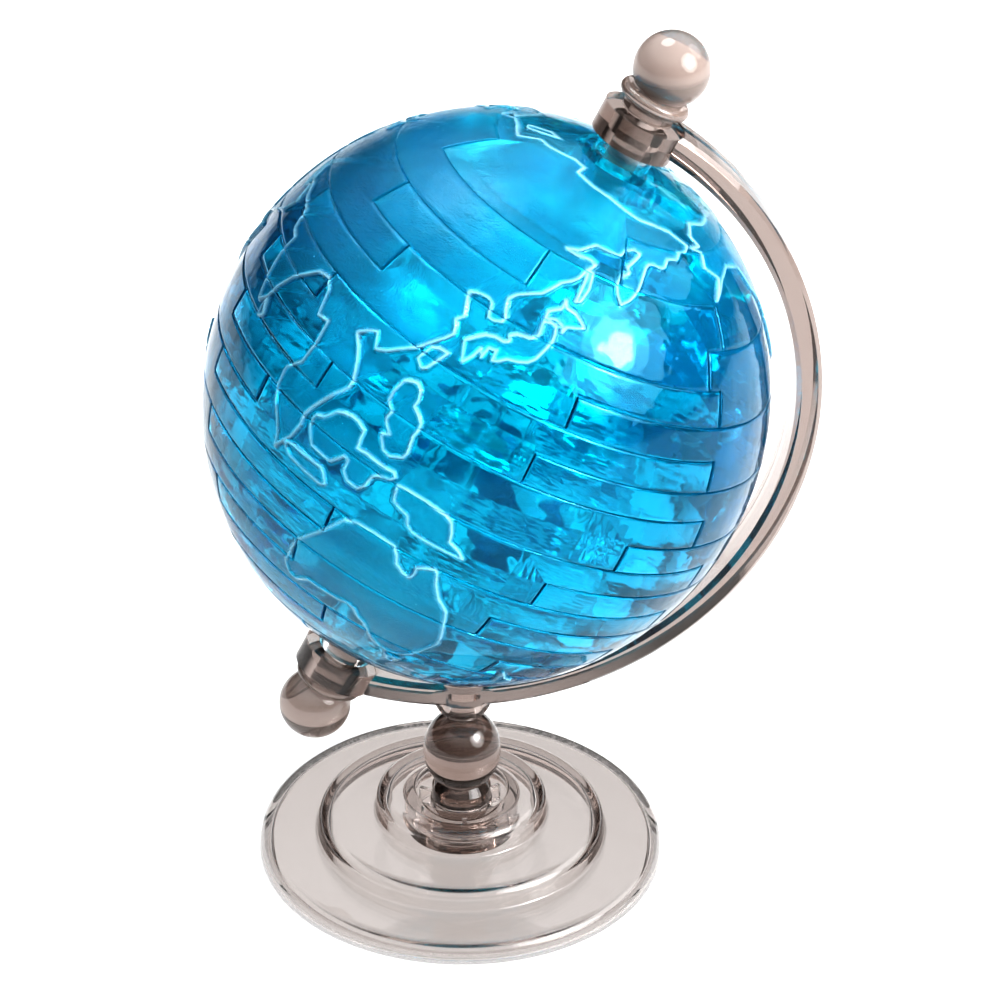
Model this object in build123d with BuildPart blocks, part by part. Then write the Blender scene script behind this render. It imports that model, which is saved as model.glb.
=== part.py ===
"""Desk globe assembled from interlocking translucent layers, on a smoky clear stand.

Millimetres, +Z up. The origin is the centre of the base's underside. The polar
axis leans towards +X in the XZ plane; the meridian arm is on the +X side.
"""
from build123d import *
from math import atan2, cos, degrees, radians, sin, sqrt
import os

os.makedirs("parts", exist_ok=True)

# ---------------------------------------------------------------- driving sizes
TILT = 26.0                      # lean of the polar axis from the vertical, degrees
GLOBE_X, GLOBE_Z = 2.9, 81.0     # centre of the globe
EQUATOR_R = 42.0                 # equatorial radius of the globe
PITCH = 4.37                     # height of one ring along the polar axis
POLE_R = 10 * PITCH              # polar radius: ten rings above the equator, ten below

SKIN = 2.2                       # wall of the two polar caps
END_MARGIN = 1.6                 # least plastic between a peg and the end of its piece
RING_DEPTH = 14.0                # how far a ring reaches in from the surface
BEVEL = 0.35                     # broken edge that shows as a seam
JOINT_GAP = 0.24                 # gap between neighbours in one ring
PEG_R, PEG_H, PEG_PLAY = 1.5, 1.7, 0.1
PEG_INSET = 7.0                  # from the surface to a peg's centre
PEG_ROOT = 0.5                   # how far a peg is sunk into its own piece

AXLE_R, AXLE_BORE = 4.35, 2.62   # clear tube through the globe
STEM_R = 2.6                     # knob stem, which turns in the arm's bosses
RUNNING = 0.06                   # radial clearance of the stem in its boss
GAP = 0.3                        # end play between turning and fixed parts
HUB_BORE = 4.42                  # hole of the polar caps over the clear tube
HUB_R = 6.6

ARM_X, ARM_Z = 0.3, 81.0         # centre of the meridian arm's arc
ARM_INNER, ARM_OUTER = 48.7, 52.6
ARM_HALF_DEPTH = 3.95
ARM_EDGE = 0.7                   # bevel along the arm
BOSS_R = 6.3
UPPER_BOSS = (46.0, 50.5)        # distances from the globe's centre along the axis
LOWER_BOSS = (48.9, 52.9)
BALL_R = 5.6
UPPER_BALL, LOWER_BALL = 58.5, 59.3
RING_R, RING_HALF = 5.4, 0.95    # rounded ring between ball and boss
RING_FROM_BALL = 5.1
COLLAR_R = 4.0                   # collar of the knob under its ring
STEM_END = 38.0                  # where the stem stops inside the clear tube

TIERS = ((32.2, 3.2), (23.0, 6.7), (13.7, 10.9))   # radius and top of each base step
BASE_WALL = 1.8
TIER_ROUND = 2.0                 # rounding of each step's upper edge
PLATE_T = 1.2                    # closing plate under the base
CUP_R, CUP_FLOOR = 7.3, 5.6      # round cup in the top step
CUP_WALL = 1.6
SOCKET_R, SOCKET_TOP = 4.9, 9.2  # socket for the column inside the cup
SPIGOT_R, SPIGOT_END = 3.2, 3.0
FOOT_R, FOOT_Z = 4.65, 9.3
EGG_R, EGG_HALF, EGG_Z = 6.15, 7.05, 18.1
BOWL_R, BOWL_Z = 4.7, 28.7       # half-ball that carries the arm
PLUG_R, PLUG_END = 1.8, 25.6

# Longitudes of the upright joints, one for each ring from -9 (south) to 8 (north).
# A ring between levels k and k + 1 has four pieces: front, right, back and left.
FRONT_RIGHT = {8: -88, 7: -47, 6: -54, 5: -49.5, 4: -90, 3: -49.6, 2: -93.5, 1: -47.3,
               0: -66.3, -1: -38, -2: -78.8, -3: -40, -4: -84.3, -5: -45, -6: -74,
               -7: -42, -8: -80, -9: -45}
LEFT_FRONT = {8: -172, 7: -113, 6: -162, 5: -143.5, 4: -178, 3: -151.6, 2: -176, 1: -138.2,
              0: -172, -1: -150, -2: -169.3, -3: -123.2, -4: -166.7, -5: -128, -6: -160,
              -7: -117, -8: -158, -9: -125}
PEG_LONGITUDES = (-155, -112, -62, -22, 25, 69, 115, 160)

# ---------------------------------------------------------------- the globe's own frame
LEAN = radians(TILT)
CENTRE = Vector(GLOBE_X, 0, GLOBE_Z)
NORTH = Vector(sin(LEAN), 0, cos(LEAN))
EAST_0 = Vector(cos(LEAN), 0, -sin(LEAN))    # longitude 0, on the arm's side
EAST_90 = Vector(0, 1, 0)
POLAR_AXIS = Axis(CENTRE, NORTH)
POLAR_PLANE = Plane(origin=CENTRE, x_dir=EAST_0, z_dir=NORTH)


def outward(lon):
    """Unit vector away from the polar axis at a longitude in degrees."""
    return EAST_0 * cos(radians(lon)) + EAST_90 * sin(radians(lon))


def meridian(lon):
    """Half-plane at a longitude: sketch x is the radius, sketch y the height."""
    return Plane(origin=CENTRE, x_dir=outward(lon), z_dir=outward(lon - 90))


def level_plane(height):
    """Plane square to the polar axis at a height from the globe's centre."""
    return Plane(origin=CENTRE + NORTH * height, x_dir=EAST_0, z_dir=NORTH)


def surface_r(height):
    """Radius of the globe's surface at a height along the polar axis."""
    return EQUATOR_R * sqrt(max(0.0, 1 - (height / POLE_R) ** 2))


def ring_mid_r(ring):
    return surface_r((ring + 0.5) * PITCH)


def ring_inner_r(ring):
    return ring_mid_r(ring) - RING_DEPTH


def joint(ring, side):
    """Longitude of an upright joint: side 0 left-front, 1 front-right, 2, 3 behind."""
    if side == 0:
        return LEFT_FRONT[ring]
    if side == 1:
        return FRONT_RIGHT[ring]
    stagger = 4 * (ring // 2 % 3 - 1)
    behind = 5 if ring % 2 == 0 else 43
    return behind + stagger + 90 * (side - 2)


def column_span(ring, column):
    """First and last longitude of a column's part of a ring (0 front, 1 right, ...)."""
    start = joint(ring, column)
    end = joint(ring, column + 1) if column < 3 else joint(ring, 0) + 360
    play = degrees(JOINT_GAP / 2 / ring_mid_r(ring))
    return start + play, end - play


def wrap_near(lon, span):
    """The same longitude, moved by whole turns to lie closest to a span's middle."""
    middle = (span[0] + span[1]) / 2
    return lon + 360 * round((middle - lon) / 360)


def clear_of_ends(lon, ring, span):
    margin = degrees((PEG_R + END_MARGIN + 1.2) / ring_mid_r(ring))
    lon = wrap_near(lon, span)
    return span[0] + margin < lon < span[1] - margin


def column_of(lon, ring):
    """The column that holds a longitude in a ring, or None close to a joint."""
    for column in range(4):
        if clear_of_ends(lon, ring, column_span(ring, column)):
            return column
    return None


def low_ring_of(column, ring):
    """Lower ring of the two-ring layer that a ring belongs to in a column."""
    even_based = column % 2 == 0
    return ring - ring % 2 if even_based else ring - (ring + 1) % 2


def peg_places(level):
    """Longitudes where a peg joins two different pieces across a level."""
    found = []
    if abs(level) > 7:
        return found
    for lon in PEG_LONGITUDES:
        below, above = column_of(lon, level - 1), column_of(lon, level)
        if below is None or above is None:
            continue
        if below != above or low_ring_of(below, level - 1) != low_ring_of(above, level):
            found.append((lon, below, above))
    return found


def peg_spot(level, lon):
    """Centre of a peg, in the plan seen along the polar axis."""
    radius = surface_r(level * PITCH) - PEG_INSET
    return radius * cos(radians(lon)), radius * sin(radians(lon))


def step_profile(side, level, ring, lon):
    """Section taken away where a piece steps back one ring, with the edge left broken.

    side is 1 where the ring above the level goes, and -1 where the ring below it goes.
    """
    edge_h = level * PITCH
    lip_h = edge_h - side * BEVEL
    slope_r = surface_r(lip_h) - (surface_r(edge_h) - BEVEL)
    far_h = (level + side) * PITCH + side
    with BuildSketch(meridian(lon)) as profile:
        with BuildLine():
            Polyline(
                (ring_inner_r(ring) - 6, edge_h),
                (surface_r(edge_h) - BEVEL, edge_h),
                (surface_r(lip_h) + 0.3 * slope_r, lip_h - side * 0.3 * BEVEL),
                (EQUATOR_R + 6, lip_h - side * 0.3 * BEVEL),
                (EQUATOR_R + 6, far_h),
                (ring_inner_r(ring) - 6, far_h),
                close=True,
            )
        make_face()
    return profile.sketch


def layer_piece(column, low_ring):
    """One interlocking piece: two rings high, its upper ring shifted from its lower one."""
    high_ring = low_ring + 1
    low_span = column_span(low_ring, column)
    high_span = column_span(high_ring, column)
    start, end = min(low_span[0], high_span[0]), max(low_span[1], high_span[1])
    bottom, middle, top = low_ring * PITCH, high_ring * PITCH, (high_ring + 1) * PITCH
    inner = [(ring_inner_r(high_ring), top), (ring_inner_r(high_ring), middle)]
    if abs(ring_inner_r(low_ring) - ring_inner_r(high_ring)) > 0.01:
        inner.append((ring_inner_r(low_ring), middle))
    inner.append((ring_inner_r(low_ring), bottom))
    with BuildPart() as piece:
        with BuildSketch(meridian(start)):
            with BuildLine():
                ThreePointArc(
                    (surface_r(bottom + BEVEL), bottom + BEVEL),
                    (surface_r((bottom + middle) / 2), (bottom + middle) / 2),
                    (surface_r(middle), middle),
                )
                ThreePointArc(
                    (surface_r(middle), middle),
                    (surface_r((middle + top) / 2), (middle + top) / 2),
                    (surface_r(top - BEVEL), top - BEVEL),
                )
                Polyline(
                    (surface_r(top - BEVEL), top - BEVEL),
                    (surface_r(top) - BEVEL, top),
                    *inner,
                    (surface_r(bottom) - BEVEL, bottom),
                    (surface_r(bottom + BEVEL), bottom + BEVEL),
                )
            make_face()
        revolve(axis=POLAR_AXIS, revolution_arc=end - start)
        steps = (
            (1, high_ring, start, high_span[0]),
            (1, high_ring, high_span[1], end),
            (-1, low_ring, start, low_span[0]),
            (-1, low_ring, low_span[1], end),
        )
        for side, ring, step_start, step_end in steps:
            if step_end > step_start:
                revolve(
                    step_profile(side, high_ring, ring, step_start),
                    axis=POLAR_AXIS,
                    revolution_arc=step_end - step_start,
                    mode=Mode.SUBTRACT,
                )
        for level in (low_ring, high_ring):
            for lon, below, above in peg_places(level):
                if above == column:
                    with BuildSketch(level_plane(level * PITCH - 0.5)):
                        with Locations(peg_spot(level, lon)):
                            Circle(PEG_R + PEG_PLAY)
                    extrude(amount=PEG_H + 0.8, mode=Mode.SUBTRACT)
        for level in (high_ring, high_ring + 1):
            for lon, below, above in peg_places(level):
                if below == column:
                    with BuildSketch(level_plane(level * PITCH - PEG_ROOT)):
                        with Locations(peg_spot(level, lon)):
                            Circle(PEG_R)
                    extrude(amount=PEG_H + PEG_ROOT)
    return piece


def polar_cap(north):
    """Dome over one pole: the last ring all round, and the ring before it front and back."""
    side = 1 if north else -1
    edge_ring = 8 if north else -9
    inner_level, outer_level = 8 * side, 9 * side
    low, step = inner_level * PITCH, outer_level * PITCH
    crown_r = HUB_BORE + 0.5
    crown_h = side * POLE_R * sqrt(1 - (crown_r / EQUATOR_R) ** 2)
    skin_h = crown_h - side * 1.6
    lip = low + side * BEVEL
    with BuildPart() as cap:
        with BuildSketch(meridian(0)):
            with BuildLine():
                ThreePointArc(
                    (surface_r(lip), lip),
                    (surface_r((low + step) / 2), (low + step) / 2),
                    (surface_r(step), step),
                )
                ThreePointArc(
                    (surface_r(step), step),
                    (surface_r(9.62 * PITCH), side * 9.62 * PITCH),
                    (crown_r, crown_h),
                )
                Polyline(
                    (crown_r, crown_h),
                    (HUB_BORE, crown_h),
                    (HUB_BORE, low),
                    (HUB_R, low),
                    (HUB_R, skin_h),
                    (surface_r(9.3 * PITCH) - SKIN - 1.0, side * (9.3 * PITCH - 0.8)),
                    (surface_r(step) - SKIN - 0.9, step - side * 0.4),
                    (surface_r(lip) - SKIN - 1.6, low),
                    (surface_r(low) - BEVEL, low),
                    (surface_r(lip), lip),
                )
            make_face()
        revolve(axis=POLAR_AXIS, revolution_arc=360)
        for column in (1, 3):
            start = joint(edge_ring, column)
            end = joint(edge_ring, column + 1) if column < 3 else joint(edge_ring, 0) + 360
            play = degrees(JOINT_GAP / 2 / ring_mid_r(edge_ring))
            lip_step = step + side * BEVEL
            with BuildSketch(meridian(start - play)):
                with BuildLine():
                    Polyline(
                        (HUB_R + 1.5, step),
                        (surface_r(step) - BEVEL, step),
                        (surface_r(lip_step) + 0.2, lip_step + side * 0.05),
                        (EQUATOR_R, lip_step + side * 0.05),
                        (EQUATOR_R, low - side),
                        (HUB_R + 1.5, low - side),
                        close=True,
                    )
                make_face()
            revolve(
                axis=POLAR_AXIS,
                revolution_arc=end - start + 2 * play,
                mode=Mode.SUBTRACT,
            )
    return cap


def knob(ball, boss_face, side):
    """Ball knob with a rounded ring, a collar and the stem that turns in the boss."""
    ring = ball - RING_FROM_BALL
    collar = boss_face + GAP
    with BuildPart() as knob_part:
        with BuildSketch(meridian(0)):
            with BuildLine():
                Polyline(
                    (0, side * ball),
                    (0, side * STEM_END),
                    (STEM_R - 0.4, side * STEM_END),
                    (STEM_R, side * (STEM_END + 0.4)),
                    (STEM_R, side * collar),
                    (COLLAR_R, side * collar),
                    (COLLAR_R, side * ring),
                    (COLLAR_R, side * ball),
                    close=True,
                )
            make_face()
            with Locations((0, side * ball)):
                Circle(BALL_R)
            with Locations((RING_R - RING_HALF, side * ring)):
                Circle(RING_HALF)
            with Locations((RING_R / 2 - RING_HALF / 2, side * ring)):
                Rectangle(RING_R - RING_HALF, 2 * RING_HALF)
            with Locations((-BALL_R, side * ball)):
                Rectangle(2 * BALL_R, 4 * BALL_R, mode=Mode.SUBTRACT)
        revolve(axis=POLAR_AXIS, revolution_arc=360)
    return knob_part


def save(piece, name):
    piece.part.label = name
    export_step(piece.part, f"parts/{name}.step")


# ---------------------------------------------------------------- stand: base
(R1, Z1), (R2, Z2), (R3, Z3) = TIERS
with BuildPart() as base_shell:
    with BuildSketch(Plane.XZ) as outline:
        with BuildLine():
            Polyline(
                (0, 0), (R1, 0), (R1 - 0.5, Z1), (R2, Z1), (R2 - 0.5, Z2), (R3, Z2),
                (R3 - 0.4, Z3), (0, Z3),
                close=True,
            )
        make_face()
        corners = [
            corner
            for corner in outline.vertices()
            if any(abs(corner.Y - top) < 0.01 and 0 < r - corner.X < 1 for r, top in TIERS)
        ]
        fillet(corners, TIER_ROUND)
    revolve(axis=Axis.Z, revolution_arc=360)
    with BuildSketch(Plane.XZ):
        with BuildLine():
            Polyline(
                (SOCKET_R, 0), (R1 - BASE_WALL, 0), (R1 - BASE_WALL, Z1 - BASE_WALL),
                (R2 - BASE_WALL, Z1 - BASE_WALL), (R2 - BASE_WALL, Z2 - BASE_WALL),
                (R3 - BASE_WALL, Z2 - BASE_WALL), (R3 - BASE_WALL, Z3 - BASE_WALL),
                (CUP_R + CUP_WALL, Z3 - BASE_WALL), (CUP_R + CUP_WALL, CUP_FLOOR - CUP_WALL),
                (SOCKET_R, CUP_FLOOR - CUP_WALL),
                close=True,
            )
        make_face()
    revolve(axis=Axis.Z, revolution_arc=360, mode=Mode.SUBTRACT)
    with BuildSketch(Plane.XY.offset(CUP_FLOOR)):
        Circle(CUP_R)
        Circle(SOCKET_R, mode=Mode.SUBTRACT)
    extrude(amount=Z3, mode=Mode.SUBTRACT)
    with BuildSketch(Plane.XY.offset(SOCKET_TOP)):
        Circle(CUP_R)
    extrude(amount=Z3, mode=Mode.SUBTRACT)
    with BuildSketch(Plane.XY.offset(SPIGOT_END - 0.1)):
        Circle(SPIGOT_R + 0.02)
    extrude(amount=Z3, mode=Mode.SUBTRACT)
    with BuildSketch(Plane.XY):
        Circle(SOCKET_R + 3)
    extrude(amount=PLATE_T, mode=Mode.SUBTRACT)
    with BuildSketch(Plane.XY.offset(CUP_FLOOR - 0.5)):
        with PolarLocations((CUP_R + SOCKET_R) / 2, 6, start_angle=30):
            Rectangle(CUP_R - SOCKET_R + 1.0, 0.8)
    extrude(amount=8.4 - CUP_FLOOR + 0.5)
save(base_shell, "base_shell")

with BuildPart() as base_plate:
    with BuildSketch(Plane.XY):
        Circle(R1 - BASE_WALL - 0.1)
    extrude(amount=PLATE_T)
    chamfer(base_plate.faces().sort_by(Axis.Z)[0].edges(), 0.3)
save(base_plate, "base_plate")

# ---------------------------------------------------------------- stand: column
with BuildPart() as column_part:
    with BuildSketch(Plane.XZ):
        with Locations((0, EGG_Z)):
            Ellipse(EGG_R, EGG_HALF)
        with Locations((0, BOWL_Z)):
            Circle(BOWL_R)
        with Locations((0, BOWL_Z + BOWL_R)):
            Rectangle(4 * BOWL_R, 2 * BOWL_R, mode=Mode.SUBTRACT)
        with BuildLine():
            Polyline(
                (0, SPIGOT_END), (SPIGOT_R - 0.4, SPIGOT_END), (SPIGOT_R, SPIGOT_END + 0.4),
                (SPIGOT_R, FOOT_Z), (FOOT_R, FOOT_Z), (FOOT_R, FOOT_Z + 2.0),
                (FOOT_R - 1.2, EGG_Z - 5.0), (0, EGG_Z),
                close=True,
            )
        make_face()
        with Locations((-EGG_R, BOWL_Z / 2)):
            Rectangle(2 * EGG_R, 3 * BOWL_Z, mode=Mode.SUBTRACT)
    revolve(axis=Axis.Z, revolution_arc=360)
    with BuildSketch(Plane.XY.offset(BOWL_Z)):
        Circle(PLUG_R + 0.05)
    extrude(amount=-(BOWL_Z - PLUG_END + 0.2), mode=Mode.SUBTRACT)
save(column_part, "column")

# ---------------------------------------------------------------- stand: meridian arm
ARM_MID = (ARM_INNER + ARM_OUTER) / 2


def arm_angle(distance):
    """Angle, in the arm's plane, of the point on the polar axis at a distance from the centre."""
    spot = CENTRE + NORTH * distance
    return degrees(atan2(spot.Z - ARM_Z, spot.X - ARM_X))


def arm_point(radius, angle):
    return ARM_X + radius * cos(radians(angle)), ARM_Z + radius * sin(radians(angle))


ARM_TOP = arm_angle(sum(UPPER_BOSS) / 2)
ARM_BOTTOM = arm_angle(-sum(LOWER_BOSS) / 2)
ARM_HALFWAY = (ARM_TOP + ARM_BOTTOM) / 2
with BuildPart() as meridian_arm:
    with BuildSketch(Plane.XZ):
        with BuildLine():
            ThreePointArc(
                arm_point(ARM_OUTER, ARM_BOTTOM),
                arm_point(ARM_OUTER, ARM_HALFWAY),
                arm_point(ARM_OUTER, ARM_TOP),
            )
            Line(arm_point(ARM_OUTER, ARM_TOP), arm_point(ARM_INNER, ARM_TOP))
            ThreePointArc(
                arm_point(ARM_INNER, ARM_TOP),
                arm_point(ARM_INNER, ARM_HALFWAY),
                arm_point(ARM_INNER, ARM_BOTTOM),
            )
            Line(arm_point(ARM_INNER, ARM_BOTTOM), arm_point(ARM_OUTER, ARM_BOTTOM))
        make_face()
    extrude(amount=ARM_HALF_DEPTH, both=True)
    long_edges = [
        edge for edge in meridian_arm.edges().filter_by(GeomType.CIRCLE) if edge.length > 40
    ]
    chamfer(long_edges, ARM_EDGE)
    for near, far, side in ((*UPPER_BOSS, 1), (*LOWER_BOSS, -1)):
        with BuildSketch(level_plane(side * far)):
            Circle(BOSS_R + 0.02)
        extrude(amount=side * 6, mode=Mode.SUBTRACT)
        with BuildSketch(level_plane(side * near)):
            Circle(BOSS_R)
        extrude(amount=side * (far - near))
    with BuildSketch(Plane.XY.offset(BOWL_Z + 0.05)):
        Circle(BOWL_R + 0.6)
    extrude(amount=-6, mode=Mode.SUBTRACT)
    with BuildSketch(Plane.XY.offset(BOWL_Z + 0.05)):
        Circle(BOWL_R)
    extrude(amount=ARM_Z - ARM_INNER - BOWL_Z - 0.05 + 0.3)
    with BuildSketch(Plane.XY.offset(PLUG_END)):
        Circle(PLUG_R)
    extrude(amount=BOWL_Z - PLUG_END + 0.5)
    for near, far, side in ((*UPPER_BOSS, 1), (*LOWER_BOSS, -1)):
        with BuildSketch(level_plane(side * (near - 2))):
            Circle(STEM_R + RUNNING)
        extrude(amount=side * (far - near + 8), mode=Mode.SUBTRACT)
save(meridian_arm, "meridian_arm")

# ---------------------------------------------------------------- globe: axle and knobs
with BuildPart() as axle_tube:
    with BuildSketch(level_plane(-(LOWER_BOSS[0] - GAP))):
        Circle(AXLE_R)
        Circle(AXLE_BORE, mode=Mode.SUBTRACT)
    extrude(amount=UPPER_BOSS[0] + LOWER_BOSS[0] - 2 * GAP)
save(axle_tube, "axle_tube")

save(knob(UPPER_BALL, UPPER_BOSS[1], 1), "upper_knob")
save(knob(LOWER_BALL, LOWER_BOSS[1], -1), "lower_knob")

# ---------------------------------------------------------------- globe: pieces
save(polar_cap(True), "north_cap")
save(polar_cap(False), "south_cap")
for column, side_name in enumerate(("front", "right", "back", "left")):
    first_ring = -8 if column % 2 == 0 else -9
    for number, low_ring in enumerate(range(first_ring, 8, 2), start=1):
        save(layer_piece(column, low_ring), f"{side_name}_layer_{number}")
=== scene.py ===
# %% [markdown]
# # A puzzle globe on a smoky stand
# The object is a desk globe made of clear blue plastic pieces that lock together in
# rings, held on a smoky clear arm and a stepped round base. The solid model gives
# every piece its place in metres. This lesson gives the pieces their fine surfaces
# (broken edges, raised land, grain) and their see-through plastics.

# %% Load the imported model
from math import radians

import bmesh
import bpy
import numpy as np
from mathutils import Matrix


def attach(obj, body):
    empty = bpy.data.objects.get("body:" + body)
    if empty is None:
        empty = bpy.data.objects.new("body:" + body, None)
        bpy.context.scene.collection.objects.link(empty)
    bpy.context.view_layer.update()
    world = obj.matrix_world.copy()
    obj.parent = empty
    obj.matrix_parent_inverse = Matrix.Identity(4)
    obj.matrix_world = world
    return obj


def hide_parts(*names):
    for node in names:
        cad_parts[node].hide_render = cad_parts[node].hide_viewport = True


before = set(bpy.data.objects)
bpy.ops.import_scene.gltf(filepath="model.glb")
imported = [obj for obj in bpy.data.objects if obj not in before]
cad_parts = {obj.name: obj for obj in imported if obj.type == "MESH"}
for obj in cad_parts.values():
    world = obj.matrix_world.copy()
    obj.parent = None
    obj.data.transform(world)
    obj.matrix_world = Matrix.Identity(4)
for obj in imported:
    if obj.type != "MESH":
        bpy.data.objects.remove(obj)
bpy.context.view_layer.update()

# %% [markdown]
# ## Camera
# A long lens stands well back and looks down at thirty degrees, so the rings curve
# only gently. The camera is placed from four facts: where it aims, how far away it is,
# and its turn round and above the object. A slight roll levels the base in the frame.

# %% Camera
AIM = np.array([0.00525, 0.0, 0.06335])
DISTANCE = 0.5328
AZIMUTH, ELEVATION, ROLL = radians(-5.14), radians(30.23), radians(1.13)


def unit(v):
    return v / np.linalg.norm(v)


back = np.array([
    np.sin(AZIMUTH) * np.cos(ELEVATION), -np.cos(AZIMUTH) * np.cos(ELEVATION), np.sin(ELEVATION)
])
side = np.array([np.cos(AZIMUTH), np.sin(AZIMUTH), 0.0])
up = np.cross(back, side)
right = np.cos(ROLL) * side + np.sin(ROLL) * up
above = np.cos(ROLL) * up - np.sin(ROLL) * side
camera = bpy.data.objects.new("camera", bpy.data.cameras.new("camera"))
bpy.context.scene.collection.objects.link(camera)
turn = np.eye(4)
turn[:3, 0], turn[:3, 1], turn[:3, 2], turn[:3, 3] = right, above, back, AIM + DISTANCE * back
camera.matrix_world = Matrix(turn)
camera.data.lens = 126.5
camera.data.sensor_width = 36.0
camera.data.clip_start = 0.01
bpy.context.scene.camera = camera
print("camera at", [round(float(v), 4) for v in AIM + DISTANCE * back])

# %% [markdown]
# ## The globe's own frame
# The globe leans, so its pieces are easiest to describe by a height along the leaning
# axis, a radius from it and a longitude round it. Longitude 0 is on the arm's side.
# All sizes below are in millimetres, and turn into metres only when a mesh is made.

# %% Sizes of the globe, in millimetres
MM = 0.001
LEAN = radians(26.0)
CENTRE = np.array([2.9, 0.0, 81.0])
NORTH = np.array([np.sin(LEAN), 0.0, np.cos(LEAN)])
EAST_0 = np.array([np.cos(LEAN), 0.0, -np.sin(LEAN)])
EAST_90 = np.array([0.0, 1.0, 0.0])
EQUATOR_R = 42.0
PITCH = 4.37
POLE_R = 10 * PITCH
SKIN = 2.2
RING_DEPTH = 14.0
EDGE_ROUND = 0.35
JOINT_GAP = 0.24
AIR = 0.05          # thin air film left between stacked pieces
# Longitudes of the upright joints in front, one for each ring from -9 to 8
FRONT_RIGHT = {8: -88, 7: -47, 6: -54, 5: -49.5, 4: -90, 3: -49.6, 2: -93.5, 1: -47.3,
               0: -66.3, -1: -38, -2: -78.8, -3: -40, -4: -84.3, -5: -45, -6: -74,
               -7: -42, -8: -80, -9: -45}
LEFT_FRONT = {8: -172, 7: -113, 6: -162, 5: -143.5, 4: -178, 3: -151.6, 2: -176, 1: -138.2,
              0: -172, -1: -150, -2: -169.3, -3: -123.2, -4: -166.7, -5: -128, -6: -160,
              -7: -117, -8: -158, -9: -125}


def surface_r(height):
    """Radius of the globe at a height: the equator's radius times the root of one less
    the square of height over polar radius."""
    return EQUATOR_R * np.sqrt(np.maximum(0.0, 1 - (height / POLE_R) ** 2))


def place(radius, height, lon):
    """Point in metres at a radius, height and longitude of the leaning globe: the centre,
    plus the height along the axis, plus the radius along the turned outward direction."""
    out = (np.cos(np.radians(lon))[..., None] * EAST_0
           + np.sin(np.radians(lon))[..., None] * EAST_90)
    return (CENTRE + height[..., None] * NORTH + radius[..., None] * out) * MM


BEHIND_EVEN, BEHIND_ODD = 5, 43     # first joint behind, on even and on odd rings
STAGGER = 4                         # degrees by which it shifts from ring to ring


def joint(ring, at):
    """Longitude of an upright joint of a ring: 0 left-front, 1 front-right, 2 and 3 behind."""
    if at < 2:
        return (LEFT_FRONT, FRONT_RIGHT)[at][ring]
    first = BEHIND_EVEN if ring % 2 == 0 else BEHIND_ODD
    return first + STAGGER * (ring // 2 % 3 - 1) + 90 * (at - 2)


def column_span(ring, column):
    """First and last longitude of a column's share of a ring, with half a gap off each end."""
    start = joint(ring, column)
    end = joint(ring, column + 1) if column < 3 else joint(ring, 0) + 360
    play = np.degrees(JOINT_GAP / 2 / surface_r((ring + 0.5) * PITCH))
    return start + play, end - play
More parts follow.
